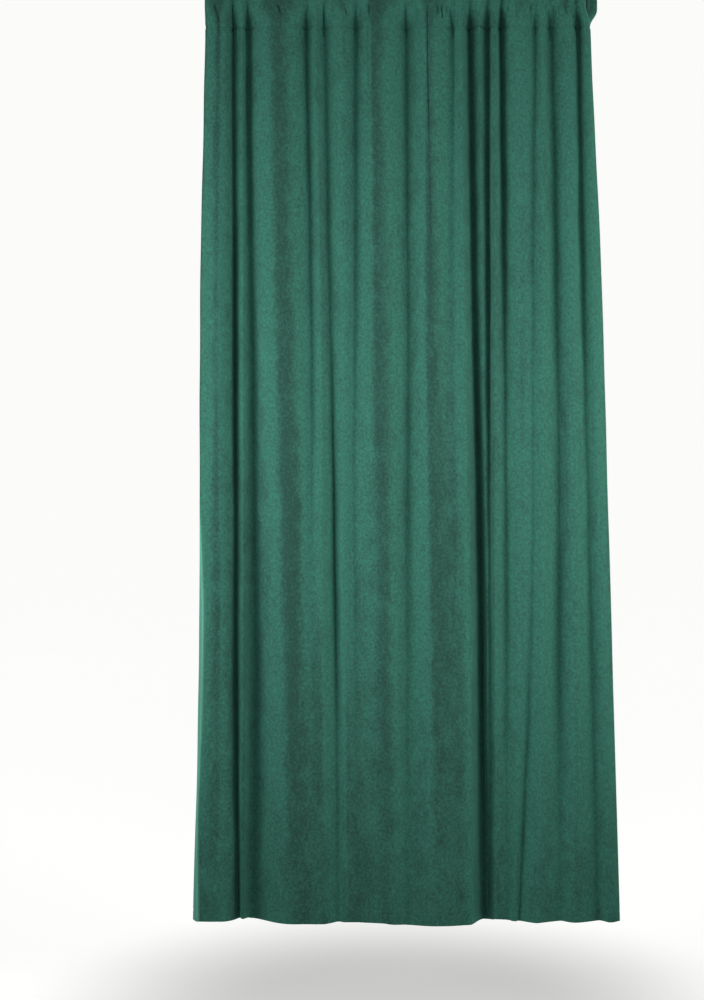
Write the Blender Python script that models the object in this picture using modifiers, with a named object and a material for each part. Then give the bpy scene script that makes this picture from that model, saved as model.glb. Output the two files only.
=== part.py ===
"""One velvet curtain panel with a rod-pocket heading, hanging closed in its own uneven folds.

Metres, +Z up. The origin is the middle of the top edge, and the rod that the pocket takes runs along X
with its axis at y = 0. The room side is -Y. The tables below hold millimetres.
"""

import math
from collections import namedtuple

import bmesh
import bpy
import numpy as np

MM = 0.001

# Driving sizes, in metres.
LENGTH = 2.450
POCKET_HEIGHT = 0.100
CLOTH = 0.0020
PIECE_GAP = 0.0003
CREST_PLANE = -0.032

# The rod pocket: where its walls stand round the rod, how much of the folds' depth they keep there, and
# how its two layers close on each other below it.
ROD_AXIS_Z = -0.0165
CLOSING_HEIGHT = 0.060
FRONT_FOLD_SHARE = 0.38
BACK_WALL = 0.0158
BACK_FOLD_SHARE = 0.30
LAYER_SPACING = 0.0036
SEAM_LIFT = 0.0011
VALLEY_DIP_SHARE = 0.06
MOUTH_REACH = 0.045
WALL_SHARES = (0.09, 0.5, 1.0)
CROWN_ANGLES = (30, 65, 115, 150)

# How finely the solids follow the cloth.
PANEL_STEP = 0.0145
PANEL_ROWS = 13
POCKET_STEP = 0.0102
SAMPLES = 40

# The steepest that the cloth may stand between two folds, as a share of the way between them.
STEEPEST_SHARE = 2.6

CURTAIN_COLOUR = (0.024, 0.118, 0.090, 1.0)
POCKET_COLOUR = (0.030, 0.135, 0.103, 1.0)
VELVET_ROUGHNESS = 0.85

# Each ridge or valley line of the cloth, left to right, in millimetres. across and depth are its place and
# its distance behind the foremost crests at four even heights, from the stitch line down to the hem.
# before and after are how far the cloth runs level to the left and right of the line, at the stitch line and
# at the hem: long for a broad roll, short for a sharp crease. drop is how much lower than the straight hem
# the cloth ends there.
Fold = namedtuple("Fold", "name across depth before after drop")
FOLDS = (
    Fold("left edge", (-511, -525, -530, -546), (26, 32, 40, 46), (6, 6), (6, 6), 6),
    Fold("left turn", (-511, -526, -526, -534), (15, 17, 18, 22), (16, 16), (14, 14), 4),
    Fold("first roll", (-474, -482, -478, -481), (2, 1, 7, 13), (80, 80), (110, 110), 2),
    Fold("first slot", (-441, -437, -433, -425), (40, 46, 50, 56), (8, 8), (6, 6), 4),
    Fold("slot ridge", (-417, -415, -412, -416), (14, 17, 15, 22), (20, 12), (30, 20), -3),
    Fold("second slot", (-404, -393, -388, -397), (40, 41, 50, 62), (24, 30), (40, 90), 6),
    Fold("broad roll", (-322, -308, -288, -276), (0, 0, 2, 5), (190, 190), (210, 150), 6),
    Fold("shallow valley", (-246, -232, -230, -222), (34, 24, 11, 8), (24, 20), (24, 20), 7),
    Fold("thin ridge", (-223, -208, -203, -196), (7, 7, 6, 7), (10, 20), (22, 30), 6),
    Fold("sharp valley", (-201, -185, -168, -164), (30, 27, 29, 21), (12, 10), (22, 20), 4),
    Fold("low ridge", (-157, -149, -145, -139), (3, 6, 9, 9), (18, 24), (60, 60), 2),
    Fold("open valley", (-114, -120, -119, -110), (31, 21, 17, 10), (20, 20), (34, 34), 2),
    Fold("left middle roll", (-73, -62, -45, -39), (0, 0, 2, 6), (80, 80), (210, 200), 5),
    Fold("middle valley", (17, 22, 19, 19), (38, 29, 29, 20), (20, 26), (30, 30), 12),
    Fold("middle roll", (73, 74, 90, 104), (1, 0, 0, 0), (90, 90), (90, 90), 10),
    Fold("slight valley", (144, 141, 153, 161), (24, 12, 5, 3), (30, 30), (10, 20), 9),
    Fold("slot lip", (158, 168, 181, 186), (4, 1, 0, 0), (26, 30), (26, 22), 6),
    Fold("deep slot", (185, 201, 221, 226), (44, 43, 60, 64), (12, 44), (10, 16), 9),
    Fold("slot floor ridge", (209, 217, 231, 233), (12, 15, 25, 54), (22, 14), (20, 10), 7),
    Fold("short valley", (235, 236, 241, 240), (38, 32, 27, 50), (24, 10), (18, 10), 6),
    Fold("narrow ridge", (250, 251, 253, 251), (4, 5, 10, 30), (30, 24), (18, 30), 0),
    Fold("fading valley", (266, 276, 282, 287), (40, 28, 26, 32), (14, 22), (10, 24), 3),
    Fold("right middle roll", (307, 316, 318, 302), (0, 1, 4, 22), (70, 30), (60, 20), 3),
    Fold("right shallow valley", (360, 349, 347, 315), (21, 12, 15, 34), (20, 10), (20, 12), 5),
    Fold("right roll", (374, 374, 374, 362), (3, 0, 0, 4), (30, 40), (24, 24), 3),
    Fold("fading crease", (398, 418, 424, 425), (28, 25, 27, 22), (30, 34), (14, 14), 2),
    Fold("last roll", (440, 447, 455, 460), (1, 0, 0, 5), (44, 44), (60, 60), 2),
    Fold("last valley", (470, 484, 505, 527), (30, 22, 21, 26), (20, 20), (20, 20), 2),
    Fold("edge roll", (486, 507, 527, 552), (5, 4, 3, 4), (16, 24), (38, 38), 1),
    Fold("right edge", (501, 535, 557, 579), (16, 20, 20, 18), (12, 12), (12, 12), 1),
)

# The small gathers pressed into the pocket's front between its folds, in millimetres: where each lies at
# its upper and lower end, how far below the top edge it starts and ends, and how deep and wide it is.
Gather = namedtuple("Gather", "upper lower start end depth width")
GATHERS = (
    Gather(-492, -478, 20, 96, 5, 9),
    Gather(-316, -298, 14, 78, 5, 11),
    Gather(-268, -262, 20, 90, 4, 9),
    Gather(-176, -170, 30, 92, 4, 8),
    Gather(-146, -139, 36, 84, 4, 8),
    Gather(-92, -86, 10, 80, 3, 9),
    Gather(-42, -40, 24, 90, 3, 9),
    Gather(44, 50, 22, 86, 5, 9),
    Gather(98, 106, 30, 96, 5, 8),
    Gather(122, 124, 24, 70, 4, 8),
    Gather(286, 290, 16, 64, 5, 9),
    Gather(330, 334, 28, 92, 4, 9),
    Gather(414, 420, 26, 96, 5, 10),
)

# The pocket's open mouths, in millimetres at the rod's height: how far each layer's edge stands out from
# the stitch line's end.
Mouth = namedtuple("Mouth", "front back")
LEFT_MOUTH = Mouth(-1, -3)
RIGHT_MOUTH = Mouth(-15, 24)


def between_levels(levels, down):
    """The value of a line with even levels at the share down of its length, on a smooth curve."""
    ends = np.array([2 * levels[0] - levels[1], *levels, 2 * levels[-1] - levels[-2]], float)
    place = min(max(down, 0.0), 1.0) * (len(levels) - 1)
    first = min(int(place), len(levels) - 2)
    before, start, end, after = ends[first : first + 4]
    share = place - first
    slope_in = (end - before) / 2
    slope_out = (after - start) / 2
    return (
        start
        + slope_in * (share - 2 * share**2 + share**3)
        + (end - start) * (3 * share**2 - 2 * share**3)
        + slope_out * (share**3 - share**2)
    )


def ease(share):
    share = np.clip(share, 0.0, 1.0)
    return share * share * (3 - 2 * share)


def runs_level(widths, down):
    """How far the cloth runs level beside a fold at this height, in millimetres."""
    return widths[0] + (widths[1] - widths[0]) * down


def fold_line(left, right, down):
    """The cloth's plan between two neighbouring folds: places across and depths, in millimetres."""
    share = np.linspace(0.0, 1.0, SAMPLES + 1)
    start = between_levels(left.across, down)
    width = between_levels(right.across, down) - start
    leaving = min(runs_level(left.after, down), STEEPEST_SHARE * width)
    arriving = min(runs_level(right.before, down), STEEPEST_SHARE * width)
    across = (
        start
        + leaving * (share - 2 * share**2 + share**3)
        + width * ease(share)
        + arriving * (share**3 - share**2)
    )
    near = between_levels(left.depth, down)
    far = between_levels(right.depth, down)
    return across, near + (far - near) * ease(share)


def line_length(across, depth):
    return float(np.hypot(np.diff(across), np.diff(depth)).sum())


def columns_between(left, right, step):
    """How many even steps the cloth between two folds takes, from its mean length over the height."""
    lengths = [line_length(*fold_line(left, right, down)) for down in (0.0, 0.5, 1.0)]
    return max(2, round(sum(lengths) / len(lengths) * MM / step))


def evenly(across, depth, count):
    """The same line with count even steps along the cloth, without its last point."""
    along = np.concatenate([[0.0], np.cumsum(np.hypot(np.diff(across), np.diff(depth)))])
    stops = np.linspace(0.0, along[-1], count + 1)[:-1]
    return np.interp(stops, along, across), np.interp(stops, along, depth)


def plan(down, step):
    """The whole cloth in plan at one height: places across, depths and hem drops, in millimetres."""
    across, depth, drop = [], [], []
    for left, right in zip(FOLDS, FOLDS[1:]):
        count = columns_between(left, right, step)
        places, depths = evenly(*fold_line(left, right, down), count)
        across.extend(places)
        depth.extend(depths)
        drop.extend(np.linspace(left.drop, right.drop, count, endpoint=False))
    across.append(between_levels(FOLDS[-1].across, down))
    depth.append(between_levels(FOLDS[-1].depth, down))
    drop.append(FOLDS[-1].drop)
    return np.array(across), np.array(depth), np.array(drop)


def panel_points():
    """The panel's corners, row by row from the stitch line down to the hem."""
    rows = []
    top = POCKET_HEIGHT + PIECE_GAP
    for down in np.linspace(0.0, 1.0, PANEL_ROWS + 1):
        across, depth, drop = plan(down, PANEL_STEP)
        height = -top - down * (LENGTH - top) - drop * MM * ease(down)
        rows.append(np.column_stack([across * MM, CREST_PLANE + depth * MM, height]))
    return np.array(rows)


def plan_normals(across, depth):
    """Unit vectors square to the plan, pointing to the back of the cloth."""
    run = np.gradient(across)
    rise = np.gradient(depth)
    size = np.hypot(run, rise)
    return np.column_stack([-rise / size, run / size])


def gather_depth(across, below):
    """How far the gathers press the pocket's front in, in metres, at these places and depth below the top."""
    pressed = np.zeros_like(across)
    for gather in GATHERS:
        share = (below - gather.start) / (gather.end - gather.start)
        centre = gather.upper + (gather.lower - gather.upper) * share
        fade = math.sin(math.pi * min(max(share, 0.0), 1.0))
        pressed += gather.depth * fade * np.exp(-(((across - centre) / gather.width) ** 2))
    return pressed * MM


def mouth_shift(across, left, right):
    """How far a layer is drawn out at each place, in metres: all at the mouths, nothing in the middle."""
    reach = MOUTH_REACH / MM
    near_left = np.exp(-(across - across[0]) / reach)
    near_right = np.exp(-(across[-1] - across) / reach)
    return (left * near_left + right * near_right) * MM


def wall_points(side, height):
    """One row of the pocket's front wall (side -1) or back wall (side 1), at a height below the top edge."""
    across, depth, _ = plan(0.0, POCKET_STEP)
    offset = plan_normals(across, depth) * side * LAYER_SPACING / 2
    low_x = across * MM + offset[:, 0]
    low_y = CREST_PLANE + depth * MM + offset[:, 1]
    if side < 0:
        rod_x = across * MM + mouth_shift(across, LEFT_MOUTH.front, RIGHT_MOUTH.front)
        rod_y = CREST_PLANE + depth * MM * FRONT_FOLD_SHARE
        rod_y = rod_y + gather_depth(across, -height / MM) * FRONT_FOLD_SHARE
    else:
        rod_x = across * MM + mouth_shift(across, LEFT_MOUTH.back, RIGHT_MOUTH.back)
        rod_y = BACK_WALL + depth * MM * BACK_FOLD_SHARE
    share = ease((height + POCKET_HEIGHT) / CLOSING_HEIGHT)
    x = low_x + (rod_x - low_x) * share
    y = low_y + (rod_y - low_y) * share
    return np.column_stack([x, y, np.full_like(x, height)])


def crown_points(angle):
    """One row over the rod, at an angle from the front wall (0) over the top (90) to the back wall (180)."""
    _, depth, _ = plan(0.0, POCKET_STEP)
    front = wall_points(-1, ROD_AXIS_Z)
    back = wall_points(1, ROD_AXIS_Z)
    turn = math.radians(angle)
    points = front + (back - front) * (1 - math.cos(turn)) / 2
    rise = -CLOTH / 2 - ROD_AXIS_Z - depth * MM * VALLEY_DIP_SHARE
    points[:, 2] = ROD_AXIS_Z + rise * math.sin(turn)
    return points


def pocket_points():
    """The pocket's corners, row by row: round from the stitch line, up the front, over and down the back."""
    across, depth, _ = plan(0.0, POCKET_STEP)
    seam_height = -POCKET_HEIGHT + SEAM_LIFT
    wall_heights = [-POCKET_HEIGHT + CLOSING_HEIGHT * share for share in WALL_SHARES]
    seam = np.column_stack(
        [across * MM, CREST_PLANE + depth * MM, np.full_like(across, seam_height)]
    )
    rows = [seam]
    rows += [wall_points(-1, height) for height in wall_heights]
    rows += [crown_points(angle) for angle in CROWN_ANGLES]
    rows += [wall_points(1, height) for height in reversed(wall_heights)]
    rows.append(seam)
    return np.array(rows)


def make_material(name, colour):
    material = bpy.data.materials.new(name)
    material.use_nodes = True
    shader = material.node_tree.nodes["Principled BSDF"]
    shader.inputs["Base Color"].default_value = colour
    shader.inputs["Roughness"].default_value = VELVET_ROUGHNESS
    shader.inputs["Metallic"].default_value = 0.0
    return material


def make_sheet(name, points, colour, collection):
    """A sheet of cloth on a grid of points, thickened to both sides of them."""
    rows, columns = points.shape[0] - 1, points.shape[1] - 1
    grid = bmesh.new()
    bmesh.ops.create_grid(grid, x_segments=columns, y_segments=rows, size=0.5)
    for corner in grid.verts:
        column = round((corner.co.x + 0.5) * columns)
        row = round((0.5 - corner.co.y) * rows)
        corner.co = points[row, column]
    bmesh.ops.remove_doubles(grid, verts=grid.verts, dist=PIECE_GAP / 10)
    mesh = bpy.data.meshes.new(name)
    grid.to_mesh(mesh)
    grid.free()
    mesh.shade_smooth()
    mesh.materials.append(make_material(name, colour))
    sheet = bpy.data.objects.new(name, mesh)
    collection.objects.link(sheet)
    thicken = sheet.modifiers.new("Cloth thickness", "SOLIDIFY")
    thicken.thickness = CLOTH
    thicken.offset = 0.0
    return sheet


def clear_scene():
    for thing in list(bpy.data.objects):
        bpy.data.objects.remove(thing, do_unlink=True)


def main():
    clear_scene()
    curtain = bpy.data.collections.new("curtain")
    bpy.context.scene.collection.children.link(curtain)
    make_sheet("curtain_panel", panel_points(), CURTAIN_COLOUR, curtain)
    make_sheet("rod_pocket", pocket_points(), POCKET_COLOUR, curtain)


main()
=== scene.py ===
"""The looks of the velvet curtain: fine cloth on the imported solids, stitching, materials, light, camera.

Metres, +Z up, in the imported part's frame: the top edge's middle is the origin and the room side is -Y.
The tables hold millimetres, as in the part's own source.
"""

import math
from collections import namedtuple

import bpy
import numpy as np
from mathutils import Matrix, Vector


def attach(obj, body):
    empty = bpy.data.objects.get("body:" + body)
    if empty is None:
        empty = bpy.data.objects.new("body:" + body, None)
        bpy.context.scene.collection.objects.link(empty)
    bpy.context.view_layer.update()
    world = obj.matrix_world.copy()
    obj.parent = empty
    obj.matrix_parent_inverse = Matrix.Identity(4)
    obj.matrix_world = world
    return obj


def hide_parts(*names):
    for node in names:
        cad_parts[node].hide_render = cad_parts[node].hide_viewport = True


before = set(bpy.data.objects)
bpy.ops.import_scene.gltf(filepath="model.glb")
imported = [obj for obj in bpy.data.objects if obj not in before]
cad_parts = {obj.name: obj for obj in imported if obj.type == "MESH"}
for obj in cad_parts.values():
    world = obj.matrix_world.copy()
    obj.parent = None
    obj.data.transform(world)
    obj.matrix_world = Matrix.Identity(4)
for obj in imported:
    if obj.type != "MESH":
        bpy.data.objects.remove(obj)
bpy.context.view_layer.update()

MM = 0.001

# The part's driving sizes, in metres.
LENGTH = 2.450
POCKET_HEIGHT = 0.100
CREST_PLANE = -0.032
ROD_AXIS_Z = -0.0165
CLOSING_HEIGHT = 0.060
FRONT_FOLD_SHARE = 0.38
BACK_WALL = 0.0158
BACK_FOLD_SHARE = 0.30
VALLEY_DIP_SHARE = 0.06
MOUTH_REACH = 0.045

# The fine cloth, in metres. Steps crowd together near every fold and rows near the seam and the hem, and
# edges that turn by more than the sharp angle, in degrees, stay sharp.
PILE_CLOTH = 0.0016
PANEL_STEP = 0.0046
PANEL_ROWS = 130
POCKET_STEP = 0.0030
POCKET_ROWS = 30
SAMPLES = 90
STEEPEST_SHARE = 2.6
STEP_CROWDING = 0.35
ROW_CROWDING = 0.86
RIM_STEPS = 3
SHARP_ANGLE = 60.0

# The pocket's rows: how they crowd on its front, the steps round its top and how many of them count as
# front, the rows down its back, and where those of its tail lie between the stitch line and its end.
WALL_CROWDING = 0.7
TOP_STEPS = 13
FRONT_TOP_STEPS = 7
BACK_ROWS = 18
TAIL_SHARES = (0.5, 1.0)

# Hems, in metres: the cloth turned up behind the hem, the faint line that it shows in front, and the strips
# turned in along both side edges, with how soft their inner edge is and how far short of it the pile ends.
HEM_TURN = 0.025
HEM_TURN_ROWS = 6
HEM_GAP = 0.0022
HEM_BEND_STEPS = 5
HEM_LINE_DEPTH = 0.0007
HEM_LINE_WIDTH = 0.003
SIDE_HEM_WIDTH = 0.022
SIDE_HEM_STEP = 0.0014
SIDE_HEM_EDGE = 0.003
SIDE_HEM_MARGIN = 0.002

# The stitch line under the pocket, in metres: the groove that it pulls in, the small puckers that it
# gathers above and below itself, and the length of cloth left below it behind the panel. The puckers
# drift along the line and swell and fade in waves of their own.
SEAM_GROOVE = 0.0024
SEAM_GROOVE_WIDTH = 0.0042
PUCKER_PITCH = 0.017
PUCKER_DEPTH = 0.0011
PUCKER_REACH = 0.020
SEAM_ALLOWANCE = 0.014
Wave = namedtuple("Wave", "size length phase")
PUCKER_DRIFTS = (Wave(0.35, 0.113, 0.0), Wave(0.25, 0.047, 1.3))
PUCKER_SWELL = Wave(0.35, 0.071, 0.4)

# Thread, in metres. Its middle lies a share of its radius outside the cloth's face, and each stitch tapers
# to its tips from a shoulder at a share of its length to both sides of its middle.
STITCH_LENGTH = 0.0030
STITCH_PITCH = 0.0042
HEM_STITCH_PITCH = 0.0090
THREAD_RADIUS = 0.00032
THREAD_SHARE_OUT = 0.4
STITCH_SIDES = 6
STITCH_SHOULDER = 0.3

# The gathers fade out where the pocket comes round the rod, between these depths below the top edge, in
# metres.
ROD_FADE = (0.028, 0.052)

# The left edge's pale strip, a painted sheen, in metres: how far below the top edge it starts, over what
# height it sets in, its widths from there down to the hem, and how soft its rims are. The pocket's side rims
# get the same painted sheen, as pale.
PALE_START = 1.345
PALE_FADE = 0.08
PALE_WIDTHS = (0.000, 0.012, 0.012, 0.006, 0.014)
PALE_RIM = 0.003
PALE_STRENGTH = 0.5

# The cloth's own slight unevenness: how many waves, how deep each is, their lengths, and how far below the
# seam they reach their full depth, in metres.
UNEVEN_SEED = 11
UNEVEN_WAVES = 14
UNEVEN_DEPTH = 0.00026
UNEVEN_ACROSS = (0.060, 0.260)
UNEVEN_DOWN = (0.25, 1.50)
UNEVEN_FADE = 0.2

# The pile's painted sheen and shade: brightest where the cloth turns this far from the room, darker where it
# faces the room, and less bright where it is steeper.
BRIGHT_SLOPE = 0.34
STEEP_SLOPE = 0.95
STEEP_DIMMING = 0.8
SHEEN_SHADE_BLUR = 0.012

# From this far below the top edge, in metres, the painted sheen and shade are more even: at the hem by this
# share of the way to this value.
EVEN_START = 1.85
EVEN_SHARE = 0.75
EVEN_SHEEN_SHADE = 0.60

Fold = namedtuple("Fold", "name across depth before after drop")
FOLDS = (
    Fold("left edge", (-511, -525, -530, -546), (26, 32, 40, 46), (6, 6), (6, 6), 6),
    Fold("left turn", (-511, -526, -526, -534), (15, 17, 18, 22), (16, 16), (14, 14), 4),
    Fold("first roll", (-474, -482, -478, -481), (2, 1, 7, 13), (80, 80), (110, 110), 2),
    Fold("first slot", (-441, -437, -433, -425), (40, 46, 50, 56), (8, 8), (6, 6), 4),
    Fold("slot ridge", (-417, -415, -412, -416), (14, 17, 15, 22), (20, 12), (30, 20), -3),
    Fold("second slot", (-404, -393, -388, -397), (40, 41, 50, 62), (24, 30), (40, 90), 6),
    Fold("broad roll", (-322, -308, -288, -276), (0, 0, 2, 5), (190, 190), (210, 150), 6),
    Fold("shallow valley", (-246, -232, -230, -222), (34, 24, 11, 8), (24, 20), (24, 20), 7),
    Fold("thin ridge", (-223, -208, -203, -196), (7, 7, 6, 7), (10, 20), (22, 30), 6),
    Fold("sharp valley", (-201, -185, -168, -164), (30, 27, 29, 21), (12, 10), (22, 20), 4),
    Fold("low ridge", (-157, -149, -145, -139), (3, 6, 9, 9), (18, 24), (60, 60), 2),
    Fold("open valley", (-114, -120, -119, -110), (31, 21, 17, 10), (20, 20), (34, 34), 2),
    Fold("left middle roll", (-73, -62, -45, -39), (0, 0, 2, 6), (80, 80), (210, 200), 5),
    Fold("middle valley", (17, 22, 19, 19), (38, 29, 29, 20), (20, 26), (30, 30), 12),
    Fold("middle roll", (73, 74, 90, 104), (1, 0, 0, 0), (90, 90), (90, 90), 10),
    Fold("slight valley", (144, 141, 153, 161), (24, 12, 5, 3), (30, 30), (10, 20), 9),
    Fold("slot lip", (158, 168, 181, 186), (4, 1, 0, 0), (26, 30), (26, 22), 6),
    Fold("deep slot", (185, 201, 221, 226), (44, 43, 60, 64), (12, 44), (10, 16), 9),
    Fold("slot floor ridge", (209, 217, 231, 233), (12, 15, 25, 54), (22, 14), (20, 10), 7),
    Fold("short valley", (235, 236, 241, 240), (38, 32, 27, 50), (24, 10), (18, 10), 6),
    Fold("narrow ridge", (250, 251, 253, 251), (4, 5, 10, 30), (30, 24), (18, 30), 0),
    Fold("fading valley", (266, 276, 282, 287), (40, 28, 26, 32), (14, 22), (10, 24), 3),
    Fold("right middle roll", (307, 316, 318, 302), (0, 1, 4, 22), (70, 30), (60, 20), 3),
    Fold("right shallow valley", (360, 349, 347, 315), (21, 12, 15, 34), (20, 10), (20, 12), 5),
    Fold("right roll", (374, 374, 374, 362), (3, 0, 0, 4), (30, 40), (24, 24), 3),
    Fold("fading crease", (398, 418, 424, 425), (28, 25, 27, 22), (30, 34), (14, 14), 2),
    Fold("last roll", (440, 447, 455, 460), (1, 0, 0, 5), (44, 44), (60, 60), 2),
    Fold("last valley", (470, 484, 505, 527), (30, 22, 21, 26), (20, 20), (20, 20), 2),
    Fold("edge roll", (486, 507, 527, 552), (5, 4, 3, 4), (16, 24), (38, 38), 1),
    Fold("right edge", (501, 535, 557, 579), (16, 20, 20, 18), (12, 12), (12, 12), 1),
)

# Small gathers pressed into the pocket's front, in millimetres: where each lies at its upper and lower end,
# how far below the top edge it starts and ends, and how deep and wide it is. CREASE_ROUND is how soon each
# one deepens from its ends.
CREASE_ROUND = 0.8
Crease = namedtuple("Crease", "upper lower start end depth width")
GATHERS = (
    Crease(-494, -474, 8, 96, 7.0, 4),
    Crease(-430, -428, 42, 94, 3.0, 3),
    Crease(-326, -310, 28, 80, 7.0, 4),
    Crease(-300, -290, 54, 98, 5.0, 6),
    Crease(-239, -241, 10, 72, 5.0, 3),
    Crease(-175, -173, 38, 84, 5.0, 5),
    Crease(-148, -139, 34, 88, 6.0, 4),
    Crease(-82, -76, 28, 94, 6.0, 5),
    Crease(-56, -50, 34, 78, 4.0, 4),
    Crease(-44, -40, 40, 92, 3.5, 4),
    Crease(-26, -22, 44, 96, 3.0, 5),
    Crease(46, 49, 34, 94, 6.0, 6),
    Crease(97, 99, 36, 86, 6.0, 3),
    Crease(108, 112, 36, 98, 7.0, 3),
    Crease(119, 124, 32, 78, 5.0, 3),
    Crease(131, 136, 40, 92, 6.0, 4),
    Crease(199, 205, 34, 92, 5.0, 4),
    Crease(213, 208, 34, 76, 4.0, 3),
    Crease(281, 287, 34, 64, 5.0, 3),
    Crease(292, 287, 34, 64, 4.0, 3),
    Crease(304, 309, 48, 97, 5.0, 4),
    Crease(342, 343, 14, 88, 8.0, 4),
    Crease(377, 383, 34, 72, 4.0, 4),
    Crease(404, 410, 28, 94, 6.0, 6),
    Crease(417, 424, 34, 78, 5.0, 4),
    Crease(433, 441, 38, 72, 5.0, 4),
)

# Small creases of the panel, in the same way. Those that start above the stitch line run on into the
# pocket. A depth below nothing is a soft ridge.
CREASES = (
    Crease(-476, -477, 60, 230, 4.0, 5),
    Crease(-442, -440, 20, 128, 6.0, 4),
    Crease(-402, -402, 20, 128, 5.0, 5),
    Crease(-247, -247, 40, 128, 5.0, 5),
    Crease(-203, -201, 14, 128, 6.0, 4),
    Crease(-118, -116, 14, 128, 6.0, 5),
    Crease(11, 17, 12, 128, 6.5, 5),
    Crease(140, 143, 70, 128, 5.0, 4),
    Crease(179, 185, 20, 128, 5.0, 5),
    Crease(229, 235, 12, 128, 5.0, 6),
    Crease(265, 266, 14, 128, 5.0, 5),
    Crease(355, 359, 70, 128, 4.0, 4),
    Crease(387, 397, 46, 128, 5.0, 5),
    Crease(446, 469, 44, 128, 5.0, 5),
    Crease(-494, -498, 420, 1300, 2.0, 9),
    Crease(-262, -262, 900, 2300, 2.2, 12),
    Crease(-178, -168, 900, 1900, 4.5, 4),
    Crease(-139, -134, 560, 1500, -2.0, 7),
    Crease(-84, -80, -60, 420, 5.5, 5),
    Crease(-47, -26, 2355, 2440, 2.6, 5),
    Crease(20, 20, 900, 2300, -2.2, 5),
    Crease(47, 44, 60, 330, 2.2, 9),
    Crease(58, 62, 20, 420, 4.0, 13),
    Crease(70, 76, -80, 420, 6.0, 4),
    Crease(74, 84, 200, 1000, 4.5, 5),
    Crease(124, 140, 80, 900, 2.0, 8),
    Crease(255, 250, 1000, 1900, 2.0, 4),
    Crease(291, 296, 90, 520, 2.0, 8),
    Crease(426, 436, 150, 800, -1.6, 7),
    Crease(538, 552, 1100, 2300, 1.6, 6),
)

# The pocket's open mouths, in millimetres at the rod's height.
Mouth = namedtuple("Mouth", "front back")
LEFT_MOUTH = Mouth(-1, -3)
RIGHT_MOUTH = Mouth(-15, 24)

# The camera looks straight along +Y from the photo's eye point.
CAMERA_PLACE = (-0.126, -3.672, -1.344)
CAMERA_LENS = 50.0
SENSOR_SIDE = 36.0

FLOOR_Z = -2.72

# The UV map's margins: the rings fill its middle, and the faces that close them lie in a strip above and
# below it, each from CAP_LOW to CAP_HIGH over its own strip.
UV_MARGIN = 0.02
UV_SPAN = 0.96
CAP_LOW = 0.1
CAP_HIGH = 0.9
CAP_SPAN = 0.8
CAP_RIM = 0.005
TOP_STRIP = 0.985
BOTTOM_STRIP = 0.002
STRIP_HEIGHT = 0.013

# Noises in the object's own coordinates. The strengths are how far each one swings the pile's tone.
Noise = namedtuple("Noise", "scale detail stretch roughness")
GRAIN = Noise(165.0, 2.0, 1.1, 0.6)
PATCHES = Noise(30.0, 8.0, 2.0, 0.7)
STREAKS = Noise(11.0, 1.0, 12.0, 0.6)
PILE = Noise(520.0, 2.0, 1.0, 0.6)
WEAVE = Noise(420.0, 3.0, 1.6, 0.6)
TWIST = Noise(900.0, 1.0, 1.0, 0.6)
GRAIN_STRENGTH = 1.35
PATCH_STRENGTH = 1.8
STREAK_STRENGTH = 0.9
BAND_LIMITS = (-0.25, 1.05)
TONE_LIMITS = (0.0, 0.63)

# Fine relief of the pile and of the weave: its strength and its depth in metres.
Relief = namedtuple("Relief", "strength depth")
PILE_RELIEF = Relief(0.3, 0.0012)
WEAVE_RELIEF = Relief(0.25, 0.0006)

# Colours as linear red, green and blue, from dark to bright where there are several.
# The pile's shades run from its painted shade to its painted sheen, with its random tone over them.
PILE_SHADES = ((0.013, 0.047, 0.036), (0.022, 0.091, 0.068), (0.028, 0.148, 0.104))
PALE_SHEEN_COLOUR = (0.105, 0.310, 0.235)
SHEEN_COLOUR = (0.17, 0.80, 0.56)
BACKING_SHADES = ((0.040, 0.112, 0.086), (0.066, 0.176, 0.136))
THREAD_COLOUR = (0.035, 0.130, 0.098)
THREAD_SHADES = ((0.026, 0.105, 0.078), (0.048, 0.165, 0.125))
PAINT_COLOUR = (0.62, 0.62, 0.61)
GLOW_COLOUR = (1.0, 1.0, 0.985)

# The stage, in metres: a round floor whose outer part bends up into a wall. Its paint glows, and glows less
# on the floor within the painted shadow's distances of the curtain's foot.
STAGE_RADIUS = 12.0
STAGE_FLAT_SHARE = 0.75
STAGE_FLAT_STEPS = 3
STAGE_BEND_HEIGHT = 3.0
STAGE_BEND_STEPS = 24
STAGE_RISE = 8.0
STAGE_SIDES = 96
STAGE_GLOW = 0.66
PAINTED_SHADOW_GLOW = 0.24
PAINTED_SHADOW_REACH = (0.40, 1.15)

# Lamps, with their power in watts, and the light of the air round the studio.
Lamp = namedtuple("Lamp", "name place power colour")
LAMPS = (
    Lamp("left_softbox", (-3.1, -1.55, -1.07), 22.0, (0.97, 1.0, 1.0)),
    Lamp("right_softbox", (3.1, -1.75, -1.07), 19.5, (1.0, 0.98, 0.95)),
)
LAMP_TARGET = (0.0, 0.0, -1.10)
LAMP_SIZE = (2.2, 0.8)
LAMP_SPREAD = 60.0
AIR_LIGHT = 0.49


def between_levels(levels, down):
    """The value of a line with even levels at the share down of its length, on a smooth curve."""
    ends = np.array([2 * levels[0] - levels[1], *levels, 2 * levels[-1] - levels[-2]], float)
    place = min(max(down, 0.0), 1.0) * (len(levels) - 1)
    first = min(int(place), len(levels) - 2)
    before, start, end, after = ends[first : first + 4]
    share = place - first
    slope_in = (end - before) / 2
    slope_out = (after - start) / 2
    return (
        start
        + slope_in * (share - 2 * share**2 + share**3)
        + (end - start) * (3 * share**2 - 2 * share**3)
        + slope_out * (share**3 - share**2)
    )


def ease(share):
    share = np.clip(share, 0.0, 1.0)
    return share * share * (3 - 2 * share)


def runs_level(widths, down):
    """How far the cloth runs level beside a fold at this height, in millimetres."""
    return widths[0] + (widths[1] - widths[0]) * down


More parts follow.
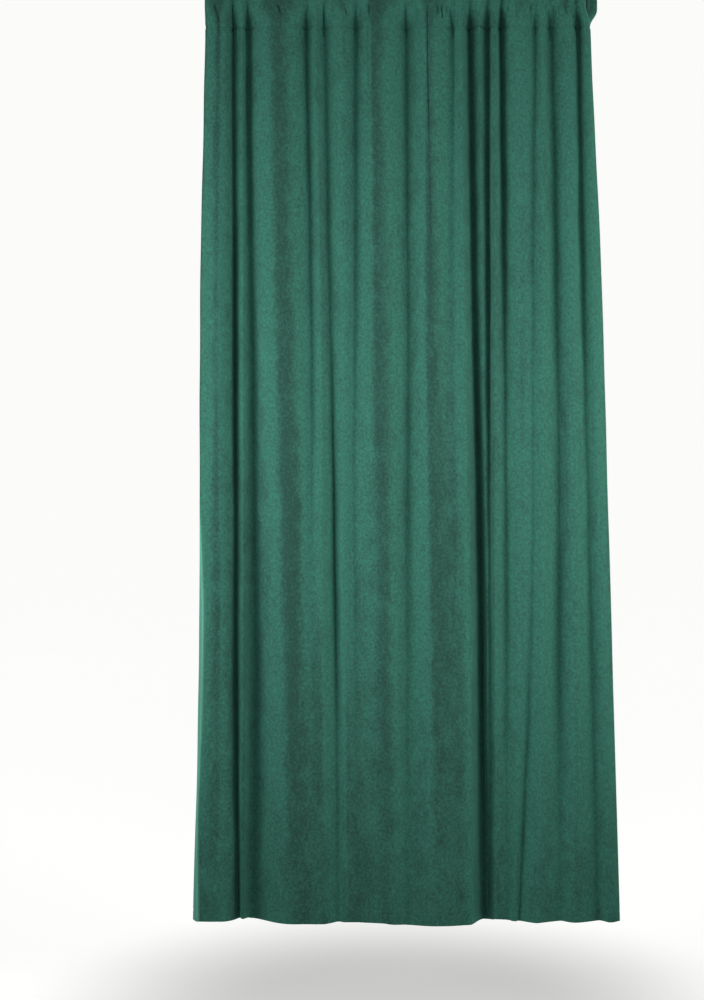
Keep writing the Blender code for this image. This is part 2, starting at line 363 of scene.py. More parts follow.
def fold_line(left, right, down):
    """The cloth's plan between two neighbouring folds: places across and depths, in millimetres."""
    share = np.linspace(0.0, 1.0, SAMPLES + 1)
    start = between_levels(left.across, down)
    width = between_levels(right.across, down) - start
    leaving = min(runs_level(left.after, down), STEEPEST_SHARE * width)
    arriving = min(runs_level(right.before, down), STEEPEST_SHARE * width)
    across = (
        start
        + leaving * (share - 2 * share**2 + share**3)
        + width * ease(share)
        + arriving * (share**3 - share**2)
    )
    near = between_levels(left.depth, down)
    far = between_levels(right.depth, down)
    return across, near + (far - near) * ease(share)


def line_length(across, depth):
    return float(np.hypot(np.diff(across), np.diff(depth)).sum())


def columns_between(left, right, step):
    lengths = [line_length(*fold_line(left, right, down)) for down in (0.0, 0.5, 1.0)]
    return max(4, round(sum(lengths) / len(lengths) * MM / step))


def crowded(count, crowding):
    """Stops from 0 to 1 that lie closer together near both ends."""
    even = np.linspace(0.0, 1.0, count + 1)
    return even - crowding * np.sin(2 * math.pi * even) / (2 * math.pi)


def stepped(across, depth, count):
    """The same line with count steps along the cloth, closer near its ends and without its last point."""
    along = np.concatenate([[0.0], np.cumsum(np.hypot(np.diff(across), np.diff(depth)))])
    stops = along[-1] * crowded(count, STEP_CROWDING)[:-1]
    return np.interp(stops, along, across), np.interp(stops, along, depth)


def plan(down, step):
    """The whole cloth in plan at one height: places across, depths and hem drops, in millimetres."""
    across, depth, drop = [], [], []
    for left, right in zip(FOLDS, FOLDS[1:]):
        count = columns_between(left, right, step)
        places, depths = stepped(*fold_line(left, right, down), count)
        across.extend(places)
        depth.extend(depths)
        drop.extend(np.linspace(left.drop, right.drop, count, endpoint=False))
    across.append(between_levels(FOLDS[-1].across, down))
    depth.append(between_levels(FOLDS[-1].depth, down))
    drop.append(FOLDS[-1].drop)
    return np.array(across), np.array(depth), np.array(drop)


def unit(vectors):
    return vectors / np.maximum(np.linalg.norm(vectors, axis=-1, keepdims=True), 1e-12)


def surface_normals(surface):
    """Unit vectors out of the front of a grid of points, whose rows run down and columns to the right."""
    across = np.gradient(surface, axis=1)
    downward = np.gradient(surface, axis=0)
    return unit(np.cross(downward, across))


def cloth_places(line):
    """How far along the cloth each point of a row lies from the left edge, in metres."""
    steps = np.linalg.norm(np.diff(line, axis=0), axis=1)
    return np.concatenate([[0.0], np.cumsum(steps)])


def pressed_in(creases, across, below):
    """How far creases press the cloth in, in metres, at places and depths below the top in millimetres."""
    pressed = np.zeros(np.broadcast(across, below).shape)
    for crease in creases:
        share = (below - crease.start) / (crease.end - crease.start)
        centre = crease.upper + (crease.lower - crease.upper) * share
        fade = np.sin(math.pi * np.clip(share, 0.0, 1.0)) ** CREASE_ROUND
        pressed = pressed + crease.depth * fade * np.exp(-(((across - centre) / crease.width) ** 2))
    return pressed * MM


def swing(wave, places):
    """A slow wave along the cloth, by its size, at places along it."""
    return wave.size * np.sin(places / wave.length + wave.phase)


def puckers(places, away):
    """How far the stitch line's puckers stand in, in metres, at places along the cloth and away from it."""
    drift = sum(swing(wave, places) for wave in PUCKER_DRIFTS)
    wave = np.sin(2 * math.pi * (places / PUCKER_PITCH + drift))
    strength = 1 - PUCKER_SWELL.size + swing(PUCKER_SWELL, places)
    return PUCKER_DEPTH * wave * strength * np.exp(-away / PUCKER_REACH)


def seam_pull(places, away):
    """How far the stitch line draws the cloth in, in metres: its groove and its puckers."""
    return SEAM_GROOVE * np.exp(-((away / SEAM_GROOVE_WIDTH) ** 2)) + puckers(places, away)


def unevenness(places, below):
    """The cloth's own slight waves, in metres, at places along the cloth and depths below the seam."""
    random = np.random.default_rng(UNEVEN_SEED)
    height = np.zeros(np.broadcast(places, below).shape)
    for _ in range(UNEVEN_WAVES):
        across = 2 * math.pi / random.uniform(*UNEVEN_ACROSS)
        down = 2 * math.pi / random.uniform(*UNEVEN_DOWN) * random.choice((-1.0, 1.0))
        phase = random.uniform(0.0, 2 * math.pi)
        height = height + UNEVEN_DEPTH * np.sin(places * across + below * down + phase)
    return height


def plain_panel():
    """The panel's folds alone, from the stitch line down to the hem, as a grid of middle points."""
    rows = []
    for down in crowded(PANEL_ROWS, ROW_CROWDING):
        across, depth, drop = plan(down, PANEL_STEP)
        height = -POCKET_HEIGHT - down * (LENGTH - POCKET_HEIGHT) - drop * MM * ease(down)
        rows.append(np.column_stack([across * MM, CREST_PLANE + depth * MM, height]))
    return np.array(rows)


def panel_surface(plain):
    """The panel's folds with the stitch line's pull, the creases, the slight waves and the hem line."""
    places = cloth_places(plain[0])[None, :]
    away = -POCKET_HEIGHT - plain[..., 2]
    above_hem = plain[..., 2] - plain[-1:, :, 2]
    inward = seam_pull(places, away)
    inward += unevenness(places, away) * ease(away / UNEVEN_FADE)
    inward += HEM_LINE_DEPTH * np.exp(-(((above_hem - HEM_TURN) / HEM_LINE_WIDTH) ** 2))
    surface = plain - surface_normals(plain) * inward[..., None]
    surface[..., 1] += pressed_in(CREASES, plain[..., 0] / MM, -plain[..., 2] / MM)
    return surface


def row_above_hem(values, heights, up):
    """A row of values at a height above the hem's edge, read column by column between the rows."""
    above = heights[-1] - heights
    row = np.empty_like(values[0])
    for column in range(values.shape[1]):
        for axis in range(values.shape[2]):
            row[column, axis] = np.interp(up, -above[::-1, column], values[::-1, column, axis])
    return row


def with_hem_turned(surface):
    """The surface with its lowest part carried round the hem's bend and up behind itself."""
    back = -surface_normals(surface)
    last = surface[-1]
    behind = back[-1]
    bend = []
    for step in range(1, HEM_BEND_STEPS + 1):
        angle = math.pi * step / HEM_BEND_STEPS
        out = behind * HEM_GAP / 2 * (1 - math.cos(angle))
        low = np.array([0.0, 0.0, -HEM_GAP / 2 * math.sin(angle)])
        bend.append(last + out + low)
    rise = []
    for step in range(1, HEM_TURN_ROWS + 1):
        up = HEM_TURN * step / HEM_TURN_ROWS
        beside = row_above_hem(surface, surface[..., 2], up)
        normal = row_above_hem(back, surface[..., 2], up)
        rise.append(beside + unit(normal) * HEM_GAP)
    return np.concatenate([surface, np.array(bend), np.array(rise)])


def from_side(surface):
    """How far along the cloth each point of a grid lies from the nearer side edge, in metres."""
    places = np.array([cloth_places(row) for row in surface])
    return np.minimum(places, places[:, -1:] - places)


def ring_grid(surface, thickness, hem_step):
    """A closed sheet round a middle surface: each row becomes a ring, front side first, with round rims."""
    normals = surface_normals(surface)
    half = thickness / 2
    front = surface + normals * half
    doubled = half + hem_step * ease((SIDE_HEM_WIDTH - from_side(surface)) / SIDE_HEM_EDGE)
    back = (surface - normals * doubled[..., None])[:, ::-1]
    outward = unit(np.gradient(surface, axis=1))
    right, left = [], []
    for step in range(1, RIM_STEPS + 1):
        angle = math.pi * step / (RIM_STEPS + 1)
        share = (1 - math.cos(angle)) / 2
        right_side = front[:, -1] + (back[:, 0] - front[:, -1]) * share
        left_side = back[:, -1] + (front[:, 0] - back[:, -1]) * share
        right.append(right_side + outward[:, -1] * half * math.sin(angle))
        left.append(left_side - outward[:, 0] * half * math.sin(angle))
    return np.concatenate([front, np.stack(right, axis=1), back, np.stack(left, axis=1)], axis=1)


def side_faces(rows, columns):
    """Quads between the rings of a grid."""
    index = np.arange(rows * columns).reshape(rows, columns)
    after = np.roll(index, -1, axis=1)
    return np.stack([index[:-1], index[1:], after[1:], after[:-1]], axis=2).reshape(-1, 4).tolist()


def cap_faces(first, sheet_columns, flip):
    """Faces that close one ring, whose first point has this index: quads across it and its two rims."""
    front = first + np.arange(sheet_columns)
    back_start = first + sheet_columns + RIM_STEPS
    back = (back_start + np.arange(sheet_columns))[::-1]
    faces = np.stack([front[:-1], front[1:], back[1:], back[:-1]], axis=1).tolist()
    right = list(range(front[-1], back_start + 1))
    left = list(range(back[0], back[0] + RIM_STEPS + 1)) + [first]
    faces = [list(map(int, face)) for face in faces + [right, left]]
    return [face[::-1] for face in faces] if flip else faces


def turned_to_back(rows, columns, sheet_columns, rings):
    """Which side faces show the woven back: those behind, but for the strips turned in along the sides."""
    behind = slice(sheet_columns + RIM_STEPS, columns - RIM_STEPS)
    shows = np.zeros((rows - 1, columns), bool)
    shows[:, behind] = from_side(rings[:-1, behind]) > SIDE_HEM_WIDTH - SIDE_HEM_MARGIN
    return shows.ravel()


def make_cloth(name, surface, values, materials, hem_step):
    """A closed sheet piece with pile on its front and woven backing on its back.

    The values are those of its middle surface, by name. hem_step is how much thicker the strips turned
    in along its sides make it.
    """
    rings = ring_grid(surface, PILE_CLOTH, hem_step)
    rows, columns = rings.shape[:2]
    sheet_columns = surface.shape[1]
    sides = side_faces(rows, columns)
    top = cap_faces(0, sheet_columns, False)
    bottom = cap_faces((rows - 1) * columns, sheet_columns, True)
    mesh = bpy.data.meshes.new(name)
    mesh.from_pydata(rings.reshape(-1, 3).tolist(), [], sides + top + bottom)
    for material in materials:
        mesh.materials.append(material)
    slots = np.zeros(len(mesh.polygons), np.int32)
    slots[: len(sides)] = turned_to_back(rows, columns, sheet_columns, rings)
    mesh.polygons.foreach_set("material_index", slots)
    lay_uv(mesh, rings, len(sides), sheet_columns)
    for value_name, value in values.items():
        attribute = mesh.attributes.new(value_name, "FLOAT", "POINT")
        attribute.data.foreach_set("value", ring_values(value, rows).astype(np.float32).ravel())
    mesh.shade_smooth()
    mesh.set_sharp_from_angle(angle=math.radians(SHARP_ANGLE))
    piece = bpy.data.objects.new(name, mesh)
    bpy.context.scene.collection.objects.link(piece)
    return piece


def softened(values, spread):
    """The values blurred along each row, over about this many columns to each side."""
    reach = np.arange(-2 * spread, 2 * spread + 1)
    weights = np.exp(-((reach / spread) ** 2))
    padded = np.pad(values, ((0, 0), (2 * spread, 2 * spread)), mode="edge")
    return np.apply_along_axis(np.convolve, 1, padded, weights / weights.sum(), mode="valid")


def painted_sheen_and_shade(plain, step):
    """Painted sheen and shade for the pile's colour: 0, painted shade, on broad folds that face the room, up
    to 1, painted sheen, on their shoulders, and less on steep walls.

    Toward the hem the painted sheen and shade are more even.
    """
    across = np.gradient(plain, axis=1)
    slope = np.abs(across[..., 1]) / np.maximum(np.hypot(across[..., 0], across[..., 1]), 1e-9)
    slope = softened(slope, round(SHEEN_SHADE_BLUR / step))
    steep = ease((slope - BRIGHT_SLOPE) / (STEEP_SLOPE - BRIGHT_SLOPE))
    # Painted sheen on the shoulders, painted shade where the cloth faces the room and on steep walls.
    sheen_shade = ease(slope / BRIGHT_SLOPE) * (1 - STEEP_DIMMING * steep)
    near_hem = ease((-plain[..., 2] - EVEN_START) / (LENGTH - EVEN_START))
    return sheen_shade + EVEN_SHARE * near_hem * (1 - steep) * (EVEN_SHEEN_SHADE - sheen_shade)


def painted_edge_sheen(plain):
    """Painted sheen along the left edge: a narrow pale strip with a paler line on its inner side."""
    below = -plain[..., 2]
    share = np.clip((below - PALE_START) / (LENGTH - PALE_START), 0.0, 1.0)
    width = np.interp(share, np.linspace(0.0, 1.0, len(PALE_WIDTHS)), PALE_WIDTHS)
    inside = plain[..., 0] - plain[..., 0].min(axis=1, keepdims=True)
    strip = ease((width - inside) / PALE_RIM + 0.5)
    line = np.exp(-(((inside - width) / PALE_RIM) ** 2))
    return ease((below - PALE_START) / PALE_FADE) * np.clip(PALE_STRENGTH * (strip + line), 0.0, 1.0)


def painted_rim_sheen(plain):
    """Painted sheen on the pocket's own side rims."""
    return PALE_STRENGTH * ease(1 - from_side(plain) / PALE_RIM)


def ring_values(values, rows):
    """The values of a sheet's middle surface for its ring grid. Rows past the last take the last one's."""
    extra = np.repeat(values[-1:], rows - len(values), axis=0)
    values = np.concatenate([values, extra])
    right = np.repeat(values[:, -1:], RIM_STEPS, axis=1)
    left = np.repeat(values[:, :1], RIM_STEPS, axis=1)
    return np.concatenate([values, right, values[:, ::-1], left], axis=1)


def cap_place(corner, columns, sheet_columns):
    """Where a corner of a closing face lies in its own strip: across it and over it, both from 0 to 1."""
    column = corner % columns
    back_start = sheet_columns + RIM_STEPS
    if column < sheet_columns:
        return UV_MARGIN + UV_SPAN * column / (sheet_columns - 1), CAP_LOW
    if column < back_start:
        return 1 - CAP_RIM, CAP_LOW + CAP_SPAN * (column - sheet_columns + 1) / (RIM_STEPS + 1)
    if column < back_start + sheet_columns:
        return 1 - UV_MARGIN - UV_SPAN * (column - back_start) / (sheet_columns - 1), CAP_HIGH
    return CAP_RIM, CAP_HIGH - CAP_SPAN * (column - back_start - sheet_columns + 1) / (RIM_STEPS + 1)


def lay_uv(mesh, rings, side_count, sheet_columns):
    """A UV map: the rings fill the middle, and the faces that close them have a strip above and below."""
    rows, columns = rings.shape[:2]
    steps = np.linalg.norm(np.diff(rings[:, 0], axis=0), axis=1)
    down = np.concatenate([[0.0], np.cumsum(steps)])
    down /= down[-1]
    corners = np.empty(len(mesh.loops), np.int32)
    mesh.loops.foreach_get("vertex_index", corners)
    side_corners = corners[: side_count * 4].reshape(-1, 4)
    u = (side_corners % columns) / columns
    wraps = (u.max(axis=1) - u.min(axis=1) > 0.5)[:, None]
    u = np.where(wraps & (u < 0.5), u + 1.0, u)
    v = 1 - UV_MARGIN - UV_SPAN * down[side_corners // columns]
    places = np.stack([u, v], axis=2).reshape(-1, 2).tolist()
    for corner in corners[side_count * 4 :]:
        along, over = cap_place(int(corner), columns, sheet_columns)
        strip = TOP_STRIP if corner < columns else BOTTOM_STRIP
        places.append((along, strip + STRIP_HEIGHT * over))
    layer = mesh.uv_layers.new(name="OFBake")
    layer.uv.foreach_set("vector", np.array(places, np.float32).ravel())


def mouth_shift(across, left, right):
    """How far the pocket's open ends are drawn out at the rod's height, in metres."""
    reach = MOUTH_REACH / MM
    near_left = np.exp(-(across - across[0]) / reach)
    near_right = np.exp(-(across[-1] - across) / reach)
    return (left * near_left + right * near_right) * MM


def wall_row(side, height, across, depth, layer_offset):
    """One row of the pocket's front wall (side -1) or back wall (side 1)."""
    low_x = across * MM + layer_offset[:, 0]
    low_y = CREST_PLANE + depth * MM + layer_offset[:, 1]
    if side < 0:
        rod_x = across * MM + mouth_shift(across, LEFT_MOUTH.front, RIGHT_MOUTH.front)
        rod_y = CREST_PLANE + depth * MM * FRONT_FOLD_SHARE
    else:
        rod_x = across * MM + mouth_shift(across, LEFT_MOUTH.back, RIGHT_MOUTH.back)
        rod_y = BACK_WALL + depth * MM * BACK_FOLD_SHARE
    share = ease((height + POCKET_HEIGHT) / CLOSING_HEIGHT)
    x = low_x + (rod_x - low_x) * share
    y = low_y + (rod_y - low_y) * share
    return np.column_stack([x, y, np.full_like(x, height)])


def rows_round_top(front_top, back_top, depth):
    """The pocket's rows round the rod's place, between its front wall and its back wall."""
    rise = -PILE_CLOTH / 2 - ROD_AXIS_Z - depth * MM * VALLEY_DIP_SHARE
    rows = []
    for angle in np.linspace(0, math.pi, TOP_STEPS + 1)[1:-1]:
        points = front_top + (back_top - front_top) * (1 - math.cos(angle)) / 2
        points[:, 2] = ROD_AXIS_Z + rise * math.sin(angle)
        rows.append(points)
    return rows


def plain_pocket():
    """The pocket's folds alone, from the front's stitch line over the top and down behind the panel."""
    across, depth, _ = plan(0.0, POCKET_STEP)
    run, rise = np.gradient(across), np.gradient(depth)
    size = np.hypot(run, rise)
    behind = np.column_stack([-rise / size, run / size])
    wall_stops = crowded(2 * POCKET_ROWS, WALL_CROWDING)[: POCKET_ROWS + 1] * 2
    front_heights = -POCKET_HEIGHT + wall_stops * (POCKET_HEIGHT + ROD_AXIS_Z)
    nothing = np.zeros_like(behind)
    rows = [wall_row(-1, height, across, depth, nothing) for height in front_heights]
    back_top = wall_row(1, ROD_AXIS_Z, across, depth, behind * HEM_GAP)
    rows += rows_round_top(rows[-1], back_top, depth)
    back_heights = np.linspace(ROD_AXIS_Z, -POCKET_HEIGHT, BACK_ROWS)
    rows += [wall_row(1, height, across, depth, behind * HEM_GAP) for height in back_heights]
    for share in TAIL_SHARES:
        tail = rows[-1].copy()
        tail[:, 2] = -POCKET_HEIGHT - SEAM_ALLOWANCE * share
        rows.append(tail)
    return np.array(rows)


def pocket_surface(plain):
    """The pocket with its gathers, from the tail behind the panel over the top and down to its front's seam.

    The panel's creases that cross the stitch line press both layers in there.
    """
    surface = plain[::-1].copy()
    across = surface[-1, :, 0][None, :] / MM
    places = cloth_places(surface[-1])[None, :]
    below = -surface[..., 2]
    row = np.arange(len(surface))[::-1, None]
    front = row <= POCKET_ROWS + FRONT_TOP_STEPS
    behind = row > POCKET_ROWS + TOP_STEPS
    to_back = surface_normals(surface) * np.where(front, -1.0, np.where(behind, 1.0, 0.0))[..., None]
    surface += to_back * seam_pull(places, np.abs(below - POCKET_HEIGHT))[..., None]
    past_rod = ease((below - ROD_FADE[0]) / (ROD_FADE[1] - ROD_FADE[0]))
    near_seam = 1 - ease((POCKET_HEIGHT - below) / CLOSING_HEIGHT)
    gathers = pressed_in(GATHERS, across, below / MM) * past_rod
    creases = pressed_in(CREASES, across, below / MM)
    surface[..., 1] += np.where(front, gathers + creases * past_rod, creases * near_seam)
    return surface


def capsule(middle, along, radius, length):
    """Points of one short stitch: two small rings between two tips."""
    along = along / np.linalg.norm(along)
    across = np.cross(along, (0.0, 0.0, 1.0))
    across = across / max(np.linalg.norm(across), 1e-9)
    upward = np.cross(across, along)
    points = [middle - along * length / 2]
    for shift in (-STITCH_SHOULDER, STITCH_SHOULDER):
        for turn in range(STITCH_SIDES):
            angle = 2 * math.pi * turn / STITCH_SIDES
            out = across * math.cos(angle) + upward * math.sin(angle)
            points.append(middle + along * length * shift + out * radius)
    points.append(middle + along * length / 2)
    return points


def capsule_faces(first):
    """Faces of one stitch, whose first tip has this index."""
    near = first + 1
    far = near + STITCH_SIDES
    tip = far + STITCH_SIDES
    faces = []
    for turn in range(STITCH_SIDES):
        after = (turn + 1) % STITCH_SIDES
        faces.append((first, near + after, near + turn))
        faces.append((near + turn, near + after, far + after, far + turn))
        faces.append((far + turn, far + after, tip))
    return faces


def stitches_along(line, pitch, length):
    """Stitch points and faces in a row along a line of points."""
    places = cloth_places(line)
    points, faces = [], []
    for place in np.arange(pitch, places[-1] - pitch, pitch):
        ends = [
            np.array([np.interp(place + shift, places, line[:, axis]) for axis in range(3)])
            for shift in (-length / 2, length / 2)
        ]
        faces += capsule_faces(len(points))
        points += capsule((ends[0] + ends[1]) / 2, ends[1] - ends[0], THREAD_RADIUS, length)
    return points, faces


def make_thread(name, lines, pitch, length, material):
    """Rows of stitches, each along one line of points."""
    points, faces = [], []
    for line in lines:
        row_points, row_faces = stitches_along(line, pitch, length)
        faces += [tuple(corner + len(points) for corner in face) for face in row_faces]
        points += row_points
    mesh = bpy.data.meshes.new(name)
    mesh.from_pydata([tuple(point) for point in points], [], faces)
    mesh.shade_smooth()
    mesh.materials.append(material)
    thread = bpy.data.objects.new(name, mesh)
    bpy.context.scene.collection.objects.link(thread)
    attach(thread, "root")
    return thread


def outer_line(surface, row):
    """The line of a surface's row on the outside of its cloth, where thread lies."""
    out = PILE_CLOTH / 2 + THREAD_RADIUS * THREAD_SHARE_OUT
    return (surface + surface_normals(surface) * out)[row]


def noise_node(tree, noise):
    """A noise in the object's own coordinates, stretched so that its patches run down the cloth."""
    coordinates = tree.nodes.new("ShaderNodeTexCoord")
    mapping = tree.nodes.new("ShaderNodeMapping")
    mapping.inputs["Scale"].default_value = (1.0, 1.0, 1.0 / noise.stretch)
    texture = tree.nodes.new("ShaderNodeTexNoise")
    texture.inputs["Scale"].default_value = noise.scale
    texture.inputs["Detail"].default_value = noise.detail
    texture.inputs["Roughness"].default_value = noise.roughness
    tree.links.new(coordinates.outputs["Object"], mapping.inputs["Vector"])
    tree.links.new(mapping.outputs["Vector"], texture.inputs["Vector"])
    return texture.outputs["Fac"]


def attribute_node(tree, name):
    node = tree.nodes.new("ShaderNodeAttribute")
    node.attribute_name = name
    return node.outputs["Fac"]


def math_node(tree, kind, first, second):
    node = tree.nodes.new("ShaderNodeMath")
    node.operation = kind
    for socket, value in zip(node.inputs, (first, second)):
        if isinstance(value, (int, float)):
            socket.default_value = value
        else:
            tree.links.new(value, socket)
    return node.outputs["Value"]


def swinging_noise(tree, noise, strength):
    """A noise that swings by this strength about nothing."""
    centred = math_node(tree, "SUBTRACT", noise_node(tree, noise), 0.5)
    return math_node(tree, "MULTIPLY", centred, strength)


def smooth_range(tree, value, before, after):
    """The value carried from one pair of limits to another on a smooth curve."""
    spread = tree.nodes.new("ShaderNodeMapRange")
    spread.interpolation_type = "SMOOTHSTEP"
    names = ("From Min", "From Max", "To Min", "To Max")
    for name, limit in zip(names, before + after):
        spread.inputs[name].default_value = limit
    tree.links.new(value, spread.inputs["Value"])
    return spread.outputs["Result"]


def shaded(tree, tone, shades):
    """The colour at a tone from 0 to 1 between evenly spaced shades."""
    ramp = tree.nodes.new("ShaderNodeValToRGB")
    elements = ramp.color_ramp.elements
    for inner in range(1, len(shades) - 1):
        elements.new(inner / (len(shades) - 1))
    for element, shade in zip(elements, shades):
        element.color = (*shade, 1.0)
    tree.links.new(tone, ramp.inputs["Fac"])
    return ramp.outputs["Color"]


def add_relief(tree, height, relief):
    bump = tree.nodes.new("ShaderNodeBump")
    bump.inputs["Strength"].default_value = relief.strength
    bump.inputs["Distance"].default_value = relief.depth
    tree.links.new(height, bump.inputs["Height"])
    tree.links.new(bump.outputs["Normal"], tree.nodes["Principled BSDF"].inputs["Normal"])


def plain_material(name, colour, roughness, specular=0.5):
    material = bpy.data.materials.new(name)
    material.use_nodes = True
    shader = material.node_tree.nodes["Principled BSDF"]
    shader.inputs["Base Color"].default_value = (*colour, 1.0)
    shader.inputs["Roughness"].default_value = roughness
    shader.inputs["Specular IOR Level"].default_value = specular
    return material


def pile_tone(tree):
    """How bright the pile is: its painted sheen and shade in ragged and streaky bands, with a fine grain
    over them.
    """
    sheen_shade = attribute_node(tree, "painted_sheen_and_shade")
    ragged = math_node(tree, "ADD", sheen_shade, swinging_noise(tree, PATCHES, PATCH_STRENGTH))
    streaky = math_node(tree, "ADD", ragged, swinging_noise(tree, STREAKS, STREAK_STRENGTH))
    band = smooth_range(tree, streaky, BAND_LIMITS, TONE_LIMITS)
    return math_node(tree, "ADD", band, swinging_noise(tree, GRAIN, GRAIN_STRENGTH))


def velvet_material():
    """Short dark green pile in ragged bands, with painted shade where it faces the room and painted sheen on
    the flanks.
    """
    material = plain_material("green_velvet", PILE_SHADES[1], 0.9, 0.15)
    tree = material.node_tree
    shader = tree.nodes["Principled BSDF"]
    shader.inputs["Sheen Weight"].default_value = 0.38
    shader.inputs["Sheen Roughness"].default_value = 0.5
    shader.inputs["Sheen Tint"].default_value = (*SHEEN_COLOUR, 1.0)
    # Painted sheen: the pale strip along the left edge and on the pocket's side rims.
    mix = tree.nodes.new("ShaderNodeMixRGB")
    mix.inputs["Color2"].default_value = (*PALE_SHEEN_COLOUR, 1.0)
    tree.links.new(attribute_node(tree, "painted_pale_sheen"), mix.inputs["Fac"])
    tree.links.new(shaded(tree, pile_tone(tree), PILE_SHADES), mix.inputs["Color1"])
    tree.links.new(mix.outputs["Color"], shader.inputs["Base Color"])
    add_relief(tree, noise_node(tree, PILE), PILE_RELIEF)
    return material


def backing_material():
    """The velvet's plain woven back, duller than the pile."""
    material = plain_material("woven_backing", BACKING_SHADES[0], 0.85, 0.2)
    tree = material.node_tree
    weave = noise_node(tree, WEAVE)
    base = tree.nodes["Principled BSDF"].inputs["Base Color"]
    tree.links.new(shaded(tree, weave, BACKING_SHADES), base)
    add_relief(tree, weave, WEAVE_RELIEF)
    return material


def thread_material():
    """Green sewing thread, a little paler than the pile."""
    material = plain_material("sewing_thread", THREAD_COLOUR, 0.6)
    tree = material.node_tree
    base = tree.nodes["Principled BSDF"].inputs["Base Color"]
    tree.links.new(shaded(tree, noise_node(tree, TWIST), THREAD_SHADES), base)
    return material


def stage_paint():
    """Matt studio paint that glows, with a painted shadow on the floor round the curtain's foot, where it
    glows less.
    """
    paint = plain_material("studio_paint", PAINT_COLOUR, 0.9)
    tree = paint.node_tree
    shader = tree.nodes["Principled BSDF"]
    shader.inputs["Emission Color"].default_value = (*GLOW_COLOUR, 1.0)
    geometry = tree.nodes.new("ShaderNodeNewGeometry")
    flat = tree.nodes.new("ShaderNodeMapping")
    flat.inputs["Scale"].default_value = (1.0, 1.0, 0.0)
    reach = tree.nodes.new("ShaderNodeVectorMath")
    reach.operation = "LENGTH"
    tree.links.new(geometry.outputs["Position"], flat.inputs["Vector"])
    tree.links.new(flat.outputs["Vector"], reach.inputs[0])
    # Painted shadow: the floor glows less round the curtain's foot.
    glow = smooth_range(tree, reach.outputs["Value"], PAINTED_SHADOW_REACH, (PAINTED_SHADOW_GLOW, STAGE_GLOW))
    tree.links.new(glow, shader.inputs["Emission Strength"])
    return paint


def stage_profile():
    """The stage's section, from near the floor's middle outwards and up: distances and heights."""
    flat = np.linspace(0.0, STAGE_FLAT_SHARE, STAGE_FLAT_STEPS + 1)[1:]
    profile = [(STAGE_RADIUS * share, FLOOR_Z) for share in flat]
    for step in range(1, STAGE_BEND_STEPS + 1):
        angle = math.pi / 2 * step / STAGE_BEND_STEPS
        share = STAGE_FLAT_SHARE + (1 - STAGE_FLAT_SHARE) * math.sin(angle)
        height = STAGE_BEND_HEIGHT * (1 - math.cos(angle))
        profile.append((STAGE_RADIUS * share, FLOOR_Z + height))
    profile.append((STAGE_RADIUS, FLOOR_Z + STAGE_RISE))
    return profile


def turned_profile(profile):
    """Points and faces of a section turned round the upright axis, closed in its middle."""
    points = [(0.0, 0.0, FLOOR_Z)]
    for reach, height in profile:
        for turn in range(STAGE_SIDES):
            angle = 2 * math.pi * turn / STAGE_SIDES
            points.append((reach * math.cos(angle), reach * math.sin(angle), height))
    faces = [(0, 1 + turn, 1 + (turn + 1) % STAGE_SIDES) for turn in range(STAGE_SIDES)]
    for ring in range(len(profile) - 1):
        inner, outer = 1 + ring * STAGE_SIDES, 1 + (ring + 1) * STAGE_SIDES
        for turn in range(STAGE_SIDES):
            after = (turn + 1) % STAGE_SIDES
            faces.append((inner + turn, outer + turn, outer + after, inner + after))
    return points, faces


def make_stage():
    """A pale floor below the hem that curves up into a far pale wall all round."""
    points, faces = turned_profile(stage_profile())
    mesh = bpy.data.meshes.new("studio_floor")
    mesh.from_pydata(points, [], faces)
    mesh.shade_smooth()
    mesh.materials.append(stage_paint())
    floor = bpy.data.objects.new("studio_floor", mesh)
    floor.visible_diffuse = False
    floor.visible_glossy = False
    bpy.context.scene.collection.objects.link(floor)


def aim(thing, target):
    direction = np.array(target, float) - np.array(thing.location, float)
    thing.rotation_euler = Vector(direction).to_track_quat("-Z", "Y").to_euler()


def make_light(lamp):
    data = bpy.data.lights.new(lamp.name, "AREA")
    data.shape = "RECTANGLE"
    data.size, data.size_y = LAMP_SIZE
    data.energy = lamp.power
    data.color = lamp.colour
    data.spread = math.radians(LAMP_SPREAD)
    light = bpy.data.objects.new(lamp.name, data)
    light.location = lamp.place
    aim(light, LAMP_TARGET)
    bpy.context.scene.collection.objects.link(light)


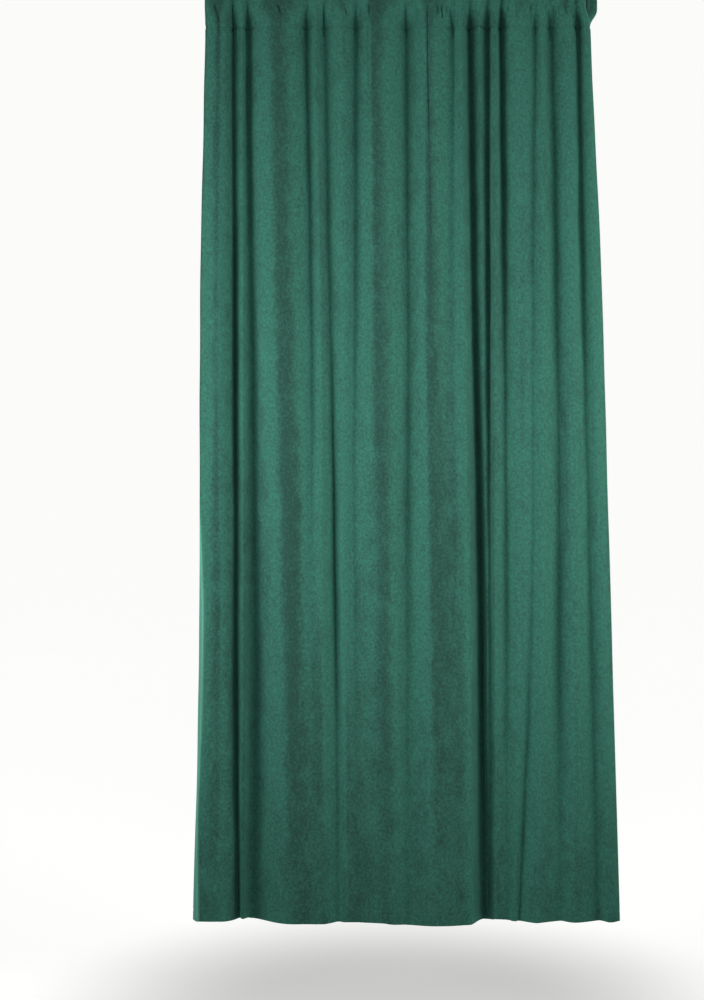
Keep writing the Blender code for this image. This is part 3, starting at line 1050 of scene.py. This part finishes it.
def make_lights():
    for lamp in LAMPS:
        make_light(lamp)
    world = bpy.data.worlds.new("studio_air")
    world.use_nodes = True
    background = world.node_tree.nodes["Background"]
    background.inputs["Color"].default_value = (1.0, 1.0, 1.0, 1.0)
    background.inputs["Strength"].default_value = AIR_LIGHT
    bpy.context.scene.world = world
    bpy.context.scene.view_settings.view_transform = "Standard"


def make_camera():
    data = bpy.data.cameras.new("photo_camera")
    data.lens = CAMERA_LENS
    data.sensor_fit = "VERTICAL"
    data.sensor_height = SENSOR_SIDE
    camera = bpy.data.objects.new("photo_camera", data)
    camera.location = CAMERA_PLACE
    camera.rotation_euler = (math.pi / 2, 0.0, 0.0)
    bpy.context.scene.collection.objects.link(camera)
    bpy.context.scene.camera = camera


def dress_curtain():
    """The two pieces of cloth on their solids, and the thread along the stitch line and the hem."""
    velvet = velvet_material()
    backing = backing_material()
    thread = thread_material()
    folds = plain_panel()
    panel_points = with_hem_turned(panel_surface(folds))
    # The pile's values are painted sheen and shade and the left edge's painted sheen.
    panel_values = {"painted_sheen_and_shade": painted_sheen_and_shade(folds, PANEL_STEP), "painted_pale_sheen": painted_edge_sheen(folds)}
    panel = make_cloth("velvet_panel", panel_points, panel_values, (velvet, backing), SIDE_HEM_STEP)
    walls = plain_pocket()
    pocket_points = pocket_surface(walls)
    pocket_values = {"painted_sheen_and_shade": painted_sheen_and_shade(walls, POCKET_STEP)[::-1], "painted_pale_sheen": painted_rim_sheen(walls)[::-1]}
    pocket = make_cloth("velvet_pocket", pocket_points, pocket_values, (velvet, backing), 0.0)
    seam_lines = [outer_line(panel_points, 0), outer_line(pocket_points, len(TAIL_SHARES))]
    seam = make_thread("seam_thread", seam_lines, STITCH_PITCH, STITCH_LENGTH, thread)
    hem_lines = [outer_line(panel_points, -2)]
    hem = make_thread("hem_thread", hem_lines, HEM_STITCH_PITCH, STITCH_LENGTH, thread)
    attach(panel, "root")
    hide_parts("curtain_panel")
    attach(pocket, "root")
    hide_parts("rod_pocket")


make_camera()
dress_curtain()
make_stage()
make_lights()
